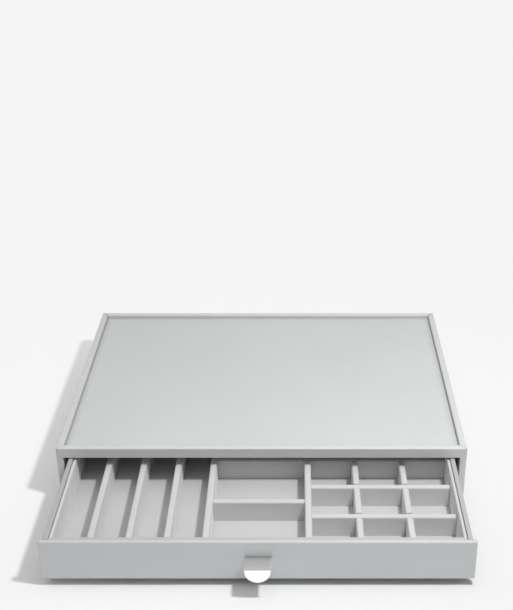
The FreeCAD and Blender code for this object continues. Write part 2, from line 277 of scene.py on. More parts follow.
def grainGroup():
    # Pebbled skin: soft domes with fine creases between them, pores, a slow drift of tone, rubbed edges,
    # which on the drawer front are painted shade instead, and darker seams with painted shade where the
    # seam mark is set
    group, given = newGroup("coverGrain", {
        "Tone": (0.6, 0.6, 0.6, 1), "Crease Tone": (0.5, 0.5, 0.5, 1), "Rub And Shade Tone": (0.7, 0.7, 0.7, 1),
        "Seam And Shade Tone": (0.4, 0.4, 0.4, 1), "Cells": 1300.0, "Satin": 0.45})
    spot = objectSpot(group)
    bend = addNode(group, "ShaderNodeTexNoise",
                   {"Vector": spot, "Scale": grainLook["bendScale"], "Detail": 1.0})
    bend = addNode(group, "ShaderNodeVectorMath",
                   {0: bend.outputs["Color"], "Scale": grainLook["bendSize"]}, operation="SCALE")
    bent = addNode(group, "ShaderNodeVectorMath", {0: spot, 1: bend.outputs[0]}, operation="ADD")
    cells = {"Vector": bent.outputs[0], "Scale": given["Cells"]}
    pebble = addNode(group, "ShaderNodeTexVoronoi", cells, feature="F1").outputs["Distance"]
    crack = addNode(group, "ShaderNodeTexVoronoi", cells, feature="DISTANCE_TO_EDGE").outputs["Distance"]
    crease = remap(group, crack, 0.0, grainLook["creaseWidth"], 1.0, 0.0)
    pores = noise(group, spot, grainLook["poreScale"], 2.0)
    dome = remap(group, pebble, 0.0, 0.75, 1.0, 0.0)
    height = mathNode(group, "MULTIPLY_ADD", dome, grainLook["domeHeight"],
                      mathNode(group, "MULTIPLY", pores, grainLook["poreHeight"]))
    cut = mathNode(group, "MULTIPLY", crease, grainLook["creaseDepth"])
    height = mathNode(group, "SUBTRACT", height, cut)
    patchy = remap(group, noise(group, spot, grainLook["rubScale"]), 0.35, 0.7, 0.35, 1.0)
    edgeRubAndShade = mathNode(group, "MULTIPLY", pointMark(group, "edge"), patchy)
    shadow = mathNode(group, "MULTIPLY", crease, 0.5)
    color = mixColor(group, shadow, given["Tone"], given["Crease Tone"])
    # Edges take the Rub And Shade Tone: lighter where worn, darker as painted shade on the drawer front
    color = mixColor(group, edgeRubAndShade, color, given["Rub And Shade Tone"])
    # The seam mark darkens seams and lays painted shade
    color = mixColor(group, pointMark(group, "seam"), color, given["Seam And Shade Tone"])
    drift = remap(group, noise(group, spot, grainLook["driftScale"]), 0.3, 0.7,
                  1 - grainLook["drift"], 1 + grainLook["drift"])
    color = mixColor(group, 1.0, color, grey(group, drift), "MULTIPLY")
    rough = mathNode(group, "ADD", given["Satin"], remap(group, pores, 0.3, 0.7, -0.05, 0.06))
    rough = mathNode(group, "MULTIPLY_ADD", crease, 0.12, rough)
    rough = mathNode(group, "MULTIPLY_ADD", edgeRubAndShade, -0.08, rough)
    return closeGroup(group, color, rough, height)


napLook = {"tuftScale": 620.0, "patchShare": 0.4, "tuftShare": 0.25, "fibreShare": 0.35,
           "fibreHeight": 0.7, "tuftHeight": 0.3}


def napGroup():
    # Velvet: a fine upright nap, lighter and darker where it leans, slow brushed patches, and darker
    # seams and painted shade where the seam mark is set
    group, given = newGroup("velvetNap", {
        "Tone": (0.6, 0.6, 0.6, 1), "Lean Tone": (0.5, 0.5, 0.5, 1), "Seam And Shade Tone": (0.4, 0.4, 0.4, 1),
        "Fibres": 3400.0, "Patches": 28.0})
    spot = objectSpot(group)
    fibre = noise(group, spot, given["Fibres"], 2.0, 0.6)
    tuft = noise(group, spot, napLook["tuftScale"])
    patch = noise(group, spot, given["Patches"])
    lean = mathNode(group, "MULTIPLY_ADD", remap(group, patch, 0.35, 0.65), napLook["patchShare"],
                    mathNode(group, "MULTIPLY", remap(group, tuft, 0.3, 0.7), napLook["tuftShare"]))
    lean = mathNode(group, "MULTIPLY_ADD", remap(group, fibre, 0.25, 0.75), napLook["fibreShare"], lean)
    color = mixColor(group, lean, given["Lean Tone"], given["Tone"])
    color = mixColor(group, pointMark(group, "seam"), color, given["Seam And Shade Tone"])
    height = mathNode(group, "MULTIPLY_ADD", fibre, napLook["fibreHeight"],
                      mathNode(group, "MULTIPLY", tuft, napLook["tuftHeight"]))
    return closeGroup(group, color, remap(group, fibre, 0.3, 0.7, 0.88, 1.0), height)


polishLook = {"hairStretch": (60.0, 5200.0, 5200.0), "smearScale": 130.0, "smearRough": 0.04}


def polishGroup():
    # Polished metal: hairlines across the strip, a few soft smears in its gloss, and painted shade, a
    # darker metal tone, where the seam mark is set
    group, given = newGroup("polishMarks", {
        "Tone": (0.9, 0.9, 0.9, 1), "Shaded Tone": (0.7, 0.7, 0.7, 1), "Gloss": 0.05, "Hairlines": 0.05})
    hair = noise(group, stretched(group, polishLook["hairStretch"]), 1.0, 2.0, 0.6)
    smear = noise(group, objectSpot(group), polishLook["smearScale"], 2.0)
    smear = remap(group, smear, 0.45, 0.8, 0.0, polishLook["smearRough"])
    scratch = remap(group, hair, 0.5, 0.8)
    rough = mathNode(group, "MULTIPLY_ADD", scratch, given["Hairlines"], given["Gloss"])
    color = mixColor(group, pointMark(group, "seam"), given["Tone"], given["Shaded Tone"])
    return closeGroup(group, color, mathNode(group, "ADD", rough, smear), hair)


def stripGroup():
    # Planed strip: long pale streaks with fine darker pores drawn out along it
    group, given = newGroup("stripGrain", {"Pale": (0.6, 0.5, 0.4, 1), "Dark": (0.45, 0.35, 0.25, 1)})
    drawn = stretched(group, (900.0, 30.0, 900.0))
    streak = noise(group, drawn, 1.0, 4.0)
    pore = noise(group, drawn, 5.0, 2.0)
    color = mixColor(group, remap(group, streak, 0.35, 0.7), given["Pale"], given["Dark"])
    return closeGroup(group, color, remap(group, pore, 0.3, 0.7, 0.5, 0.7), pore)


def newMaterial(name, settings, group, values, bump):
    # A Principled surface whose colour, roughness and bump come from one of the groups above
    material = bpy.data.materials.new(name)
    material.use_nodes = True
    tree = material.node_tree
    shader = tree.nodes["Principled BSDF"]
    for key, value in settings.items():
        shader.inputs[key].default_value = value
    effect = addNode(tree, "ShaderNodeGroup", values, node_tree=group).outputs
    tree.links.new(effect["Color"], shader.inputs["Base Color"])
    tree.links.new(effect["Roughness"], shader.inputs["Roughness"])
    relief = {"Height": effect["Height"], "Strength": bump["strength"], "Distance": bump["depth"]}
    tree.links.new(addNode(tree, "ShaderNodeBump", relief).outputs["Normal"], shader.inputs["Normal"])
    return material


def opaque(color, factor=1.0):
    # Colour times a factor, with full alpha
    return tuple(c * factor for c in color) + (1,)


grain = grainGroup()
nap = napGroup()
polish = polishGroup()
strip = stripGroup()

# A shade is a factor on the tone; cells, fibres and patches are counts per metre
coverLook = {"cool": (0.650, 0.673, 0.668), "plain": (0.668, 0.669, 0.667), "blue": (0.651, 0.668, 0.675),
             "creaseShade": 0.86, "rubShade": 1.05, "seamAndShadeShare": 0.55, "cells": 1300.0, "satin": 0.44,
             "specular": 0.35, "bump": {"strength": 0.35, "depth": 0.00006}}
velvetLook = {"warm": (0.703, 0.693, 0.696), "plain": (0.630, 0.630, 0.630), "leanShade": 0.90,
              "seamAndShadeShare": 0.55, "fibres": 3400.0, "patches": 28.0, "specular": 0.1, "sheen": 0.6,
              "sheenRough": 0.45, "bump": {"strength": 0.5, "depth": 0.00012}}


def coverMaterial(name, hue, shade=1.0, rubAndShade=coverLook["rubShade"]):
    # Imitation leather: the hue times a shade, and its creases, rubbed edges and seams in shares of that.
    # A rubAndShade below 1 is painted shade on the edges, and the seam tone also gives painted shade
    tone = tuple(c * shade for c in coverLook[hue])
    values = {"Tone": opaque(tone), "Crease Tone": opaque(tone, coverLook["creaseShade"]),
              "Rub And Shade Tone": opaque(tone, rubAndShade), "Seam And Shade Tone": opaque(tone, coverLook["seamAndShadeShare"]),
              "Cells": coverLook["cells"], "Satin": coverLook["satin"]}
    settings = {"Specular IOR Level": coverLook["specular"]}
    return newMaterial(name, settings, grain, values, coverLook["bump"])


def velvetMaterial(name, shade=1.0, patchScale=1.0, hue="warm"):
    # Velvet: the hue times a shade, and its leaning nap and its seams and painted shade in shares of that
    tone = tuple(c * shade for c in velvetLook[hue])
    values = {"Tone": opaque(tone), "Lean Tone": opaque(tone, velvetLook["leanShade"]),
              "Seam And Shade Tone": opaque(tone, velvetLook["seamAndShadeShare"]), "Fibres": velvetLook["fibres"],
              "Patches": velvetLook["patches"] * patchScale}
    settings = {"Specular IOR Level": velvetLook["specular"], "Sheen Weight": velvetLook["sheen"],
                "Sheen Roughness": velvetLook["sheenRough"]}
    return newMaterial(name, settings, nap, values, velvetLook["bump"])


# Painted light: the rail, walls, back and drawer front take lighter copies of the one cover than the
# panel, standing in for light their faces don't get; the drawer front's edges are darkened as painted
# shade
panelCover = coverMaterial("panelCover", "cool", 1.005)
railCover = coverMaterial("railCover", "cool", 1.07)
wallCover = coverMaterial("wallCover", "plain", 1.09)
backCover = coverMaterial("backWallCover", "plain", 1.13)
frontCover = coverMaterial("drawerFrontCover", "blue", 1.085, 0.90)
boxCover = coverMaterial("drawerBoxCover", "plain", 0.79)
# The undersides' cover is darker, as painted shade that deepens the shadow under the drawer
floorCover = coverMaterial("floorBoardCover", "cool", 0.75)
dividerVelvet = velvetMaterial("dividerVelvet")
linerVelvet = velvetMaterial("linerVelvet", 1.09, 1.3)
# Painted shade and light: the front liner is a darker copy of the liner velvet, and the right liner a
# lighter copy for its inner face, which gets less light
frontLinerVelvet = velvetMaterial("frontLinerVelvet", 0.80, 1.3)
rightLinerVelvet = velvetMaterial("rightLinerVelvet", 1.20, 1.3)
trayVelvet = velvetMaterial("trayVelvet", 1.0, 0.8, "plain")
baseFlock = velvetMaterial("baseFlock", 0.78)
floorFelt = velvetMaterial("floorFelt", 0.82, 2.0)
print("materials ready")

# innerShade and topShade are painted shade: darker on the top of the inner face and on the top
casingLook = {"edgeRadius": 0.0010, "seamWidth": 0.0008, "seamDepth": 0.00022, "innerShade": 0.15,
              "ripple": 0.00003, "wave": 0.11, "seed": 7}
sideLook = {**casingLook, "topShade": 0.12}
railLook = {**casingLook, "footRadius": 0.0003, "footDrop": 0.0003}
# For every board: how far a mitre's slope is felt along it, how far down the groove of a seam runs and
# over what length it fades, and the bands of painted shade that innerShade and topShade cover
boardLook = {"mitreReach": 0.022, "grooveDown": 0.003, "grooveFade": 0.002, "innerBand": 0.0009,
             "innerDown": 0.006, "topBand": 0.0003}


def wrappedBoard(node, run, outward, mitres, cells, look, ledge=None, seams=(1, 1)):
    # A block along axis run whose long edges are rounded, the outer and inner top edge each by its own
    # radius. At a mitred end each point moves along the board by its depth behind the outer face times the
    # mitre's slope, less and less over the reach; the outer corner is then rounded, and a fine groove is
    # pressed in along the seam. Below a ledge the low end stays square. The seams are darker, and painted
    # shade darkens the top of the inner face and the top itself. mitres and seams are for the low and the
    # high end: a slope or 0, and how strong the groove is
    low, high = span(node)
    low[2] -= look.get("footDrop", 0.0)
    radius = look["edgeRadius"]
    foot = look.get("footRadius", 0.0)
    upper = {outward: look.get("outerRadius", radius), -outward: look.get("innerRadius", radius)}
    thick = 1 - run
    reach = boardLook["mitreReach"]
    nearSeam = np.array([0.0002, 0.0004, 0.0006, 0.0009, 0.0013, 0.003, 0.008, reach])
    nearEnds = np.concatenate([low[run] + nearSeam if mitres[0] else [],
                               high[run] - nearSeam if mitres[1] else []])
    nearLedge = [] if ledge is None else [ledge - 0.00005, ledge]
    nearTop = np.concatenate([nearLedge, high[2] - min(upper.values()) * edgeSteps])
    extra = {run: nearEnds, thick: [], 2: nearTop}
    lowRound = {run: 0 if mitres[0] else radius, thick: upper[-1], 2: foot}
    highRound = {run: 0 if mitres[1] else radius, thick: upper[1], 2: radius}
    lines = [gridLines(low[axis], high[axis], lowRound[axis], highRound[axis], cells[axis], extra[axis])
             for axis in range(3)]
    points, quads = gridBlock(*lines)
    edge = np.zeros(len(points))
    seam = np.zeros(len(points))
    everywhere = np.ones(len(points), bool)
    outer, inner = (high[thick], low[thick]) if outward > 0 else (low[thick], high[thick])
    sides = ((outer, outward), (inner, -outward))
    for side, way in sides:
        roundEdge(points, edge, (thick, 2), (side, high[2]), (way, 1), upper[way])
        if foot:
            roundEdge(points, edge, (thick, 2), (side, low[2]), (way, -1), foot)
    mitred = everywhere & bool(mitres[0]) if ledge is None else points[:, 2] > ledge - 1e-6
    for side, way in sides:
        roundEdge(points, edge, (thick, run), (side, low[run]), (way, -1), radius, ~mitred)
    depth = np.abs(points[:, thick] - outer)
    for slope, end, way, where, depthShare in ((mitres[0], low[run], 1, mitred, seams[0]),
                                               (mitres[1], high[run], -1, everywhere, seams[1])):
        if slope:
            far = (points[:, run] - end) * way
            groove = depthShare * np.clip(1 - far / look["seamWidth"], 0, 1)
            seam = np.maximum(seam, np.where(where, groove, 0))
            points[:, run] += np.where(where, way * depth * slope * ease(1 - far / reach), 0)
            roundEdge(points, edge, (thick, run), (outer, end), (outward, -way), radius, where)
    fade = ease((points[:, 2] - high[2] + boardLook["grooveDown"]) / boardLook["grooveFade"])
    points[:, 2] -= look["seamDepth"] * seam * fade
    # Painted shade on the top of the inner face and on the top of the board
    inside = depth > high[thick] - low[thick] - boardLook["innerBand"]
    inside &= points[:, 2] > high[2] - boardLook["innerDown"]
    onTop = points[:, 2] > high[2] - boardLook["topBand"]
    seam = np.maximum(seam, look.get("innerShade", 0.0) * inside)
    seam = np.maximum(seam, look.get("topShade", 0.0) * onTop)
    face = np.abs(points[:, thick] - outer) < 1e-6
    sink = look["ripple"] + ripple(points, look["ripple"], look["wave"], look["seed"])
    points[:, thick] -= np.where(face, outward * sink, 0)
    return makePiece(pieceName(node), points, quads, {"edge": edge, "seam": seam})


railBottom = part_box("casing_front_rail")[0][2] - railLook["footDrop"]
for node, run, outward, cells, look, ledge, seams, cover in (
        ("casing_side_left", 1, -1, (2, 26, 8), sideLook, railBottom, (0.3, 1), wallCover),
        ("casing_side_right", 1, 1, (2, 26, 8), sideLook, railBottom, (0.3, 1), wallCover),
        ("casing_back", 0, 1, (30, 2, 8), casingLook, None, (1, 1), backCover),
        ("casing_front_rail", 0, -1, (30, 2, 3), railLook, None, (0.3, 0.3), railCover)):
    board = wrappedBoard(node, run, outward, (1, 1), cells, look, ledge, seams)
    place(board, "casing", node, "wrapped_board", cover)

panelLook = {"edgeRadius": 0.0008, "crown": 0.00022, "crownReach": 0.016, "tongue": 0.0020, "gap": 0.00055,
             "grooveDepth": 0.0012, "groundGap": 0.00002, "paintedRimShade": 0.50, "paintedRimShadeReach": 0.0085,
             "ripple": 0.00003, "wave": 0.16, "seed": 3}


def topPanel():
    # A thin block inside the CAD panel's tongue, with rounded upper edges; its face rises by a small crown
    # and painted shade darkens it along the rim. Below the groove's depth it widens until it all but meets
    # the walls, as the ground of the groove round it
    low, high = span("casing_top_panel")
    low[:2] += panelLook["tongue"] + panelLook["gap"]
    high[:2] -= panelLook["tongue"] + panelLook["gap"]
    ground = high[2] - panelLook["grooveDepth"]
    radius = panelLook["edgeRadius"]
    nearRim = np.array([0.001, 0.0017, 0.0026, 0.0036, 0.0045, 0.007, 0.011, 0.016])
    lines = [gridLines(low[axis], high[axis], radius, radius, cells,
                       np.concatenate([low[axis] + nearRim, high[axis] - nearRim]))
             for axis, cells in ((0, 36), (1, 26))]
    lines.append(gridLines(low[2], high[2], 0, radius, 2, [ground, ground + 0.00004]))
    points, quads = gridBlock(*lines)
    edge = np.zeros(len(points))
    above = points[:, 2] > ground + 1e-6
    for axis in (0, 1):
        for side, way in ((low[axis], -1), (high[axis], 1)):
            roundEdge(points, edge, (axis, 2), (side, high[2]), (way, 1), radius)
            onSide = ~above & (np.abs(points[:, axis] - side) < 1e-7)
            points[:, axis] += np.where(onSide, way * (panelLook["gap"] - panelLook["groundGap"]), 0)
    for x, wayX in ((low[0], -1), (high[0], 1)):
        for y, wayY in ((low[1], -1), (high[1], 1)):
            roundEdge(points, edge, (0, 1), (x, y), (wayX, wayY), radius, above)
    inward = np.minimum.reduce([points[:, 0] - low[0], high[0] - points[:, 0],
                                points[:, 1] - low[1], high[1] - points[:, 1]])
    upper = points[:, 2] > high[2] - radius * 1.01
    lift = panelLook["crown"] * (ease(inward / panelLook["crownReach"]) - 1)
    lift += ripple(points, panelLook["ripple"], panelLook["wave"], panelLook["seed"])
    points[:, 2] += np.where(upper, lift, 0)
    # Painted shade along the rim, darkest next to it
    rimShadeMark = panelLook["paintedRimShade"] * (1 - np.clip(inward / panelLook["paintedRimShadeReach"], 0, 1)) ** 2
    return makePiece(pieceName("casing_top_panel"), points, quads, {"edge": edge, "seam": rimShadeMark})


place(topPanel(), "casing", "casing_top_panel", "wrapped_board", panelCover)
print("casing ready")

# topShade is painted shade, darker on the tops of the drawer's walls
boxLook = {"edgeRadius": 0.0008, "innerRadius": 0.00035, "topShade": 0.20, "seamWidth": 0.0005,
           "seamDepth": 0.00012, "ripple": 0.00002, "wave": 0.09, "seed": 17}
for node, run, outward, mitres, cells in (("drawer_side_left", 1, -1, (0, 1), (2, 26, 6)),
                                          ("drawer_side_right", 1, 1, (0, 1), (2, 26, 6)),
                                          ("drawer_back", 0, 1, (1, 1), (30, 2, 6))):
    board = wrappedBoard(node, run, outward, mitres, cells, boxLook)
    place(board, "drawer", node, "wrapped_board", boxCover)

# dentShade, armShade, rearShade and topShade are painted shade; footShade on the bottom face is painted
# shade that deepens the shadow under the drawer
frontLook = {"edgeRadius": 0.0010, "rearTopRadius": 0.0016, "rearRadius": 0.0006,
             "ripple": 0.00003, "wave": 0.12, "seed": 11,
             "dentDepth": 0.0003, "dentReach": 0.009, "dentFoot": 0.003, "footFade": 0.001,
             "dentSide": 0.0025, "sideFade": 0.003, "dentShade": 0.38, "armLine": 0.0004, "armShade": 0.9,
             "rearBand": 0.0024, "rearFade": 0.0012, "rearDown": 0.002, "rearShade": 0.70,
             "topBand": 0.0004, "topShade": 0.27, "footShade": 0.9}
handleLook = {"width": 0.0210, "sheet": 0.0012, "bend": 0.0010, "rearBend": 0.0006, "easedEdge": 0.00022,
              "legCorner": 0.0015, "legHeight": 0.012, "screwHole": 0.0015}
screwLook = {"headRadius": 0.0028, "throughHole": 0.0016, "sinkRadius": 0.0030, "sinkDepth": 0.0017}


def screwPlaces():
    # Middles of both screws, one head radius inside the ends of their node
    low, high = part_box("handle_screws")
    reach = high[0] - screwLook["headRadius"]
    return [(way * reach, (low[2] + high[2]) / 2) for way in (-1, 1)]


def drawerFront():
    # A block with all edges of its face rounded, its rear top edge more, and the others at the back a
    # little. Over the handle the covering is drawn in: deepest at the arm, fading upwards with the square
    # of the height. Painted shade lies in that dent, behind the arm, on the top, the rear top edge and the
    # foot, and the rear top edge is not rubbed
    low, high = span("drawer_front")
    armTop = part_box("handle")[1][2]
    half = handleLook["width"] / 2
    line = frontLook["armLine"]
    radius, rear = frontLook["edgeRadius"], frontLook["rearRadius"]
    rearTop = frontLook["rearTopRadius"]
    aroundTab = np.concatenate([np.linspace(-half - 0.004, half + 0.004, 30),
                                [-half - line, -half, half, half + line]])
    overArm = armTop + np.array([-0.003, -0.002, -0.001, -0.0005, 0, 0.0004, 0.001, 0.002, 0.0035, 0.0055,
                                 0.009])
    lines = [gridLines(low[0], high[0], radius, radius, 40, aroundTab),
             gridLines(low[1], high[1], radius, rearTop, 2, high[1] - rear * edgeSteps),
             gridLines(low[2], high[2], radius, rearTop, 8,
                       np.concatenate([high[2] - radius * edgeSteps, overArm]))]
    points, quads = gridBlock(*lines)
    edge = np.zeros(len(points))
    roundEdge(points, edge, (1, 2), (high[1], high[2]), (1, 1), rearTop)
    roundEdge(points, edge, (1, 2), (high[1], low[2]), (1, -1), rear)
    for z, wayZ in ((low[2], -1), (high[2], 1)):
        roundEdge(points, edge, (1, 2), (low[1], z), (-1, wayZ), radius)
    for x, wayX in ((low[0], -1), (high[0], 1)):
        roundEdge(points, edge, (0, 1), (x, low[1]), (wayX, -1), radius)
        roundEdge(points, edge, (0, 1), (x, high[1]), (wayX, 1), rear)
        for z, wayZ in ((low[2], -1), (high[2], 1)):
            roundEdge(points, edge, (0, 2), (x, z), (wayX, wayZ), radius)
    face = points[:, 1] < low[1] + 1e-6
    sink = frontLook["ripple"] + ripple(points, frontLook["ripple"], frontLook["wave"], frontLook["seed"])
    across = np.abs(points[:, 0])
    rise = points[:, 2] - armTop
    overFoot = ease((rise + frontLook["dentFoot"]) / frontLook["footFade"])
    fade = (1 - np.clip(rise / frontLook["dentReach"], 0, 1)) ** 2 * overFoot
    fade = fade * ease((half + frontLook["dentSide"] - across) / frontLook["sideFade"])
    points[:, 1] += np.where(face, sink + frontLook["dentDepth"] * fade, 0)
    behindArm = ease(-rise / line) * overFoot * ease((half + line - across) / line)
    # Painted shade in the dent over the handle and behind the arm
    seam = np.where(face, np.maximum(frontLook["dentShade"] * fade, frontLook["armShade"] * behindArm), 0)
    rearEdge = ease((points[:, 1] - high[1] + frontLook["rearBand"]) / frontLook["rearFade"])
    rearEdge = rearEdge * (points[:, 2] > high[2] - frontLook["rearDown"])
    for shade, where in (("footShade", points[:, 2] < low[2] + 1e-6), ("rearShade", rearEdge),
                         ("topShade", points[:, 2] > high[2] - frontLook["topBand"])):
        seam = np.maximum(seam, frontLook[shade] * where)
    marks = {"edge": edge * (1 - rearEdge), "seam": seam}
    front = makePiece(pieceName("drawer_front"), points, quads, marks)
    through, sunk = screwLook["throughHole"], screwLook["sinkRadius"]
    step = high[1] - screwLook["sinkDepth"]
    past = 0.001
    drillHoles(front, screwPlaces(), ((low[1] - past, through), (step, through), (step, sunk),
                                      (high[1] + past, sunk)))
    return front


place(drawerFront(), "drawer", "drawer_front", "wrapped_board", frontCover)
print("drawer ready")

dividerLook = {"topRadius": 0.0016, "slotEase": 0.0006, "slotFit": 0.0001,
               "wave": 0.035, "ripple": 0.00006, "calmFoot": 0.004, "topShare": 0.6}


def dividerBoard(node, run, slots=(), slotFrom="top"):
    # A lined board on edge, both long top edges rounded, its faces and top a little uneven, with a seed
    # from its place. Where another board crosses, its top drops to the halving line, or its foot rises
    # to it
    low, high = span(node)
    thick = 1 - run
    radius = dividerLook["topRadius"]
    middle = (low + high) / 2
    slope = dividerLook["slotEase"]
    extra = []
    for s0, s1 in slots:
        extra += [s0 - slope, s0 - slope / 2, s0, s1, s1 + slope / 2, s1 + slope]
    lines = [None, None, None]
    lines[run] = gridLines(low[run], high[run], 0, 0, 40, extra)
    lines[thick] = gridLines(low[thick], high[thick], radius, radius, 2)
    lines[2] = gridLines(low[2], high[2], 0, radius, 6)
    points, quads = gridBlock(*lines)
    edge = np.zeros(len(points))
    for side, way in ((low[thick], -1), (high[thick], 1)):
        roundEdge(points, edge, (thick, 2), (side, high[2]), (way, 1), radius)
    size = dividerLook["ripple"]
    wave = ripple(points, size, dividerLook["wave"], int(1e5 * np.abs(low + high).sum())) - size
    rise = ease((points[:, 2] - low[2]) / dividerLook["calmFoot"])
    points[:, thick] += np.sign(points[:, thick] - middle[thick]) * wave * rise
    points[:, 2] += np.where(points[:, 2] > high[2] - radius, wave * dividerLook["topShare"], 0)
    for s0, s1 in slots:
        share = 1 - ease(np.maximum(s0 - points[:, run], points[:, run] - s1) / slope)
        if slotFrom == "top":
            points[:, 2] -= share * (points[:, 2] - low[2]) * (high[2] - middle[2]) / (high[2] - low[2])
        else:
            points[:, 2] += share * (high[2] - points[:, 2]) * (middle[2] - low[2]) / (high[2] - low[2])
    return makePiece(pieceName(node), points, quads, {"edge": edge})


def slotsOf(crossing, axis):
    # Where the crossing boards pass, with a little room on both sides
    fit = dividerLook["slotFit"]
    return [(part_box(node)[0][axis] - fit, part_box(node)[1][axis] + fit) for node in crossing]


laneBoards = ["lane_divider_1", "lane_divider_2", "lane_divider_3",
              "main_divider_left", "main_divider_right"]
middleBoards = ["middle_divider_1", "middle_divider_2", "middle_divider_3"]
longBoards = ["grid_divider_long_1", "grid_divider_long_2"]
crossBoards = ["grid_divider_cross_" + str(i) for i in range(1, 6)]
for boards, run, crossing, slotFrom in (
        (laneBoards, 1, [], "top"), (middleBoards, 0, [], "top"),
        (longBoards, 1, crossBoards, "top"), (crossBoards, 0, longBoards, "foot")):
    for node in boards:
        board = dividerBoard(node, run, slotsOf(crossing, run), slotFrom)
        place(board, "drawer", node, "divider_velvet", dividerVelvet)

linerLook = {"edgeRadius": 0.0009, "outerRadius": 0.00035, "seamWidth": 0.0005, "seamDepth": 0.00015,
             "ripple": 0.00004, "wave": 0.05, "seed": 23}
# The front wall is thicker than the side walls, so the mitres between them aren't at 45 degrees
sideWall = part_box("liner_left")
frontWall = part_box("liner_front")
frontSlope = (frontWall[1][1] - frontWall[0][1]) / (sideWall[1][0] - sideWall[0][0])
# topShade here is painted shade on the liners' tops; the right liner, a lighter copy, takes the most
for node, run, outward, mitres, cells, velvet, topShade in (
        ("liner_left", 1, -1, (frontSlope, 1), (2, 30, 5), linerVelvet, 0.10),
        ("liner_right", 1, 1, (frontSlope, 1), (2, 30, 5), rightLinerVelvet, 0.50),
        ("liner_front", 0, -1, (1 / frontSlope, 1 / frontSlope), (36, 2, 5), frontLinerVelvet, 0.0),
        ("liner_back", 0, 1, (1, 1), (36, 2, 5), linerVelvet, 0.0)):
    wall = wrappedBoard(node, run, outward, mitres, cells, {**linerLook, "topShade": topShade})
    place(wall, "drawer", node, "liner_velvet", velvet)

trayLook = {"swell": 0.0004, "shoulder": 0.004}


def trayBoard():
    # A covered board whose face swells a little in every compartment: the least distance to a divider or a
    # wall sets how far it has risen, along a quarter circle. Its lines lie close around every divider.
    # No divider or wall is thickest thick, no two lines are closer than closest, and only the skin swells
    low, high = span("tray_board")
    thickest, closest, skin = 0.01, 0.00025, 0.001
    stops = {0: [], 1: []}
    walls = [span(node) for node in laneBoards + middleBoards + longBoards + crossBoards
             + ["liner_left", "liner_right", "liner_front", "liner_back"]]
    for a, b in walls:
        for axis in (0, 1):
            if b[axis] - a[axis] < thickest:
                stops[axis] += [a[axis], b[axis]]
    around = np.array([-0.004, -0.0025, -0.0012, -0.0005, 0, 0.0005, 0.0012, 0.0025, 0.004])
    lines = []
    for axis in (0, 1):
        near = (np.array(stops[axis])[:, None] + around).ravel()
        near = near[(near > low[axis]) & (near < high[axis])]
        near = np.unique(np.round(np.concatenate([near, np.linspace(low[axis], high[axis], 40)]), 5))
        near = near[np.concatenate([[True], np.diff(near) > closest])]
        lines.append(np.unique(np.concatenate([near, [low[axis], high[axis]]])))
    lines.append(np.array([low[2], high[2] - skin, high[2]]))
    points, quads = gridBlock(*lines)
    away = np.full(len(points), 1.0)
    for a, b in walls:
        gap = np.maximum(a[:2] - points[:, :2], points[:, :2] - b[:2]).clip(0)
        away = np.minimum(away, np.hypot(gap[:, 0], gap[:, 1]))
    lift = trayLook["swell"] * np.sqrt(1 - (1 - np.clip(away / trayLook["shoulder"], 0, 1)) ** 2)
    points[:, 2] += np.where(points[:, 2] > high[2] - 1e-6, lift, 0)
    return makePiece(pieceName("tray_board"), points, quads)


place(trayBoard(), "drawer", "tray_board", "tray_velvet", trayVelvet)
print("tray ready")


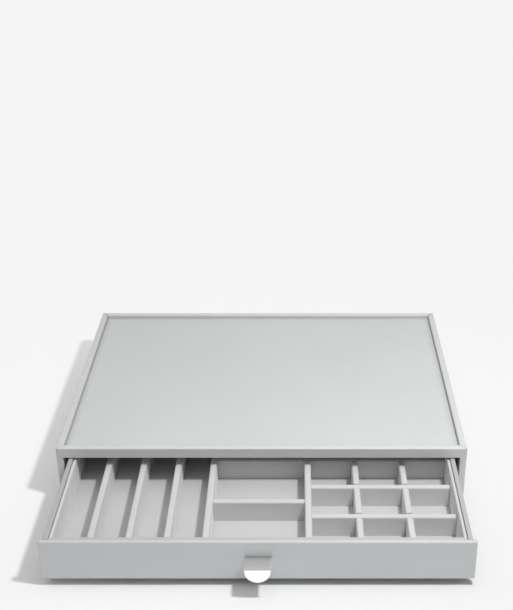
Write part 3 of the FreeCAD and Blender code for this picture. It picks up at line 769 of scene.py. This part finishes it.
def handleTab():
    # A strip carried along its bent line: up the leg, round, out, round and down the lip. Its half width
    # follows a quarter circle at the leg's corners and a half circle at the lip's end, and each cross
    # section is a flat bar with eased edges. Painted shade darkens the metal towards the leg
    low, high = span("handle")
    sheet, corner = handleLook["sheet"], handleLook["legCorner"]
    mid = handleLook["bend"] + sheet / 2
    rearMid = handleLook["rearBend"] + sheet / 2
    half = handleLook["width"] / 2
    rear, front, top = high[1] - sheet / 2, low[1] + sheet / 2, high[2] - sheet / 2
    legBottom = high[2] - handleLook["legHeight"]
    lipRound = low[2] + half
    turnSteps, cornerSteps, armSteps, lipSteps, easeSteps = 13, 7, 8, 24, 5
    turn = np.linspace(0, math.pi / 2, turnSteps)
    legRise = legBottom + corner * (1 - np.cos(np.linspace(0.2, math.pi / 2, cornerSteps)))
    lipFall = lipRound - half * np.sin(np.linspace(0, math.radians(87), lipSteps))
    lipFall = lipFall[lipFall < top - mid - 0.0002]
    y = np.concatenate([np.full(cornerSteps + 2, rear), rear - rearMid + rearMid * np.cos(turn),
                        np.linspace(rear - rearMid, front + mid, armSteps)[1:-1],
                        front + mid - mid * np.sin(turn), np.full(len(lipFall), front)])
    z = np.concatenate([legRise, [legRise[-1] + 0.003, top - mid - 0.002],
                        top - rearMid + rearMid * np.sin(turn), np.full(armSteps - 2, top),
                        top - mid + mid * np.cos(turn), lipFall])
    width = np.full(len(y), half)
    underCorner = legBottom + corner - z[:cornerSteps]
    width[:cornerSteps] = half - corner + np.sqrt(np.clip(corner ** 2 - underCorner ** 2, 0, None))
    below = (np.arange(len(y)) >= len(y) - len(lipFall)) & (z < lipRound)
    width = np.where(below, np.sqrt(np.clip(half ** 2 - (lipRound - z) ** 2, 0, None)), width)
    along = np.stack([np.gradient(y), np.gradient(z)], -1)
    along /= np.linalg.norm(along, axis=1)[:, None]
    across = np.stack([along[:, 1], -along[:, 0]], -1)
    eased = handleLook["easedEdge"]
    angle = (np.linspace(0, math.pi / 2, easeSteps)[None] + np.arange(4)[:, None] * math.pi / 2).ravel()
    signX = np.repeat([1, -1, -1, 1], easeSteps)
    signThick = np.repeat([1, 1, -1, -1], easeSteps)
    flat = signX * (width[:, None] - eased).clip(0.00002)
    x = flat + np.cos(angle) * np.minimum(eased, width)[:, None]
    thick = signThick * (sheet / 2 - eased) + np.sin(angle) * eased
    rings = np.stack([x, y[:, None] + across[:, :1] * thick, z[:, None] + across[:, 1:] * thick], -1)
    points, faces = ringShell(rings)
    # Painted shade: the metal is darker towards the leg
    shadeNearLeg = ease((y - front) / (rear - front)) ** 1.5
    shadeNearLeg = np.concatenate([np.repeat(shadeNearLeg, rings.shape[1]), shadeNearLeg[:1], shadeNearLeg[-1:]])
    sharpAngle = 50
    tab = makePiece("handleTab", points, faces, {"seam": shadeNearLeg}, sharpAngle)
    hole = handleLook["screwHole"]
    drillHoles(tab, screwPlaces(), ((high[1] - 2 * sheet, hole), (high[1] + sheet, hole)), sharpAngle)
    return tab


def steelMaterial(name, tone, shadedTone, gloss, hairlines, bump):
    # Bare metal with polishing marks, and a shaded tone for painted shade
    values = {"Tone": opaque(tone), "Shaded Tone": opaque(shadedTone), "Gloss": gloss, "Hairlines": hairlines}
    return newMaterial(name, {"Metallic": 1.0}, polish, values, bump)


polished = steelMaterial("polishedSteel", (0.99, 0.99, 0.987), (0.96, 0.965, 0.96), 0.06, 0.03,
                         {"strength": 0.05, "depth": 0.00001})
place(handleTab(), "drawer", "handle", "polished_tab", polished)
print("handle ready")

screwSteel = steelMaterial("screwSteel", (0.58, 0.58, 0.57), (0.45, 0.45, 0.44), 0.22, 0.2,
                           {"strength": 0.15, "depth": 0.00002})
guideWood = newMaterial("guideWood", {"Specular IOR Level": 0.3}, strip,
                        {"Pale": (0.56, 0.49, 0.39, 1), "Dark": (0.42, 0.34, 0.25, 1)},
                        {"strength": 0.2, "depth": 0.00005})
for node, material in (("handle_screws", screwSteel), ("casing_guide_left", guideWood),
                       ("casing_guide_right", guideWood), ("casing_floor", floorCover),
                       ("drawer_floor", floorCover), ("casing_floor_felt", floorFelt),
                       ("base_step", baseFlock)):
    nodes[node].data.materials.clear()
    nodes[node].data.materials.append(material)
print("carried over pieces ready")

# ambient is the sky's light on a flat surface, and skyTilt is how much of it comes from overhead. Polished
# metal shows glossBack all round, and glossTop overhead: that sets in over the heights topRise of the unit
# direction looked in, and ends towards the rear over its depths topRear
studio = {"back": 0.913, "glossBack": 1.0, "glossTop": 0.46, "topRise": (0.35, 0.6),
          "topRear": (0.45, 0.75), "ambient": 0.52, "skyTilt": 0.9, "floorTone": 0.95, "floorSize": 12.0,
          "lampPlace": (0.262, -0.340, 0.740), "lampWatts": 14.0, "lampRadius": 0.035}
floorMesh = bpy.data.meshes.new("studioFloor")
floorHalf = studio["floorSize"] / 2
corners = [(x * floorHalf, y * floorHalf, 0) for x, y in ((-1, -1), (1, -1), (1, 1), (-1, 1))]
floorMesh.from_pydata(corners, [], [(0, 1, 2, 3)])
studioFloor = newObject("studioFloor", floorMesh)


def seenLevel(tree, glossLevel):
    # Level of the plain background for rays that see it: camera and glass rays, and mirror rays
    path = addNode(tree, "ShaderNodeLightPath").outputs
    seen = mathNode(tree, "MAXIMUM", path["Is Camera Ray"], path["Is Transmission Ray"])
    level = remap(tree, path["Is Glossy Ray"], 0.0, 1.0, studio["back"], glossLevel)
    return level, mathNode(tree, "MAXIMUM", seen, path["Is Glossy Ray"])


def floorMaterial():
    # Seen directly or in a mirror, the floor is evenly pale: its colour is lighter where the lamp is
    # weaker, and a little glow makes up the rest, so that only the object's shadow darkens it. The lamp
    # gives a spot of floor its watts times its height over four pi squared and the cube of the distance
    material = bpy.data.materials.new("paleFloor")
    material.use_nodes = True
    tree = material.node_tree
    tree.nodes.clear()
    away = addNode(tree, "ShaderNodeVectorMath", {0: objectSpot(tree), 1: studio["lampPlace"]},
                   operation="DISTANCE")
    cube = mathNode(tree, "POWER", away.outputs["Value"], 3.0)
    strength = studio["lampWatts"] * studio["lampPlace"][2] / (4 * math.pi ** 2)
    light = mathNode(tree, "ADD", mathNode(tree, "DIVIDE", strength, cube), studio["ambient"])
    wanted = mathNode(tree, "DIVIDE", studio["back"], light)
    tone = mathNode(tree, "MINIMUM", wanted, studio["floorTone"])
    lit = mathNode(tree, "MULTIPLY", light, tone)
    level, seen = seenLevel(tree, studio["glossBack"])
    glow = mathNode(tree, "MAXIMUM", mathNode(tree, "SUBTRACT", level, lit), 0.0)
    matte = addNode(tree, "ShaderNodeBsdfDiffuse", {"Color": grey(tree, tone)})
    shine = addNode(tree, "ShaderNodeEmission", {"Strength": mathNode(tree, "MULTIPLY", glow, seen)})
    both = addNode(tree, "ShaderNodeAddShader", {0: matte.outputs[0], 1: shine.outputs[0]})
    addNode(tree, "ShaderNodeOutputMaterial", {"Surface": both.outputs[0]})
    return material


studioFloor.data.materials.append(floorMaterial())

world = bpy.data.worlds.new("studioWorld")
bpy.context.scene.world = world
world.use_nodes = True
sky = world.node_tree
sky.nodes.clear()
skySpot = addNode(sky, "ShaderNodeTexCoord").outputs["Generated"]
skyWay = addNode(sky, "ShaderNodeSeparateXYZ", {0: skySpot}).outputs
skyHeight = mathNode(sky, "POWER", mathNode(sky, "MAXIMUM", skyWay["Z"], 0.0), 2.0)
skyLight = remap(sky, skyHeight, 0.0, 1.0, studio["ambient"] * (1 - studio["skyTilt"]),
                 studio["ambient"] * (1 + studio["skyTilt"]))
overhead = remap(sky, skyWay["Z"], *studio["topRise"])
inFront = remap(sky, skyWay["Y"], *studio["topRear"], 1.0, 0.0)
mirrored = remap(sky, mathNode(sky, "MULTIPLY", overhead, inFront), 0.0, 1.0,
                 studio["glossBack"], studio["glossTop"])
skyLevel, skySeen = seenLevel(sky, mirrored)
skyStrength = addNode(sky, "ShaderNodeMix", {0: skySeen, 2: skyLight, 3: skyLevel}).outputs[0]
skyGlow = addNode(sky, "ShaderNodeBackground", {"Color": (1, 1, 1, 1), "Strength": skyStrength})
addNode(sky, "ShaderNodeOutputWorld", {"Surface": skyGlow.outputs[0]})

lamp = bpy.data.lights.new("keyLamp", "POINT")
lamp.energy = studio["lampWatts"]
lamp.shadow_soft_size = studio["lampRadius"]
keyLamp = newObject("keyLamp", lamp)
keyLamp.location = studio["lampPlace"]
keyLamp.visible_camera = False

viewPoint = {"place": (0.02943, -0.94601, 0.60245), "pitchDown": 26.445, "lens": 63.766, "sensor": 36,
             "shiftX": -0.0619}
cameraData = bpy.data.cameras.new("viewCamera")
cameraData.lens = viewPoint["lens"]
cameraData.sensor_width = viewPoint["sensor"]
cameraData.shift_x = viewPoint["shiftX"]
viewCamera = newObject("viewCamera", cameraData)
viewCamera.location = viewPoint["place"]
viewCamera.rotation_euler = (math.radians(90 - viewPoint["pitchDown"]), 0, 0)
bpy.context.scene.camera = viewCamera
bpy.context.scene.view_settings.view_transform = "Standard"

print("scene ready")
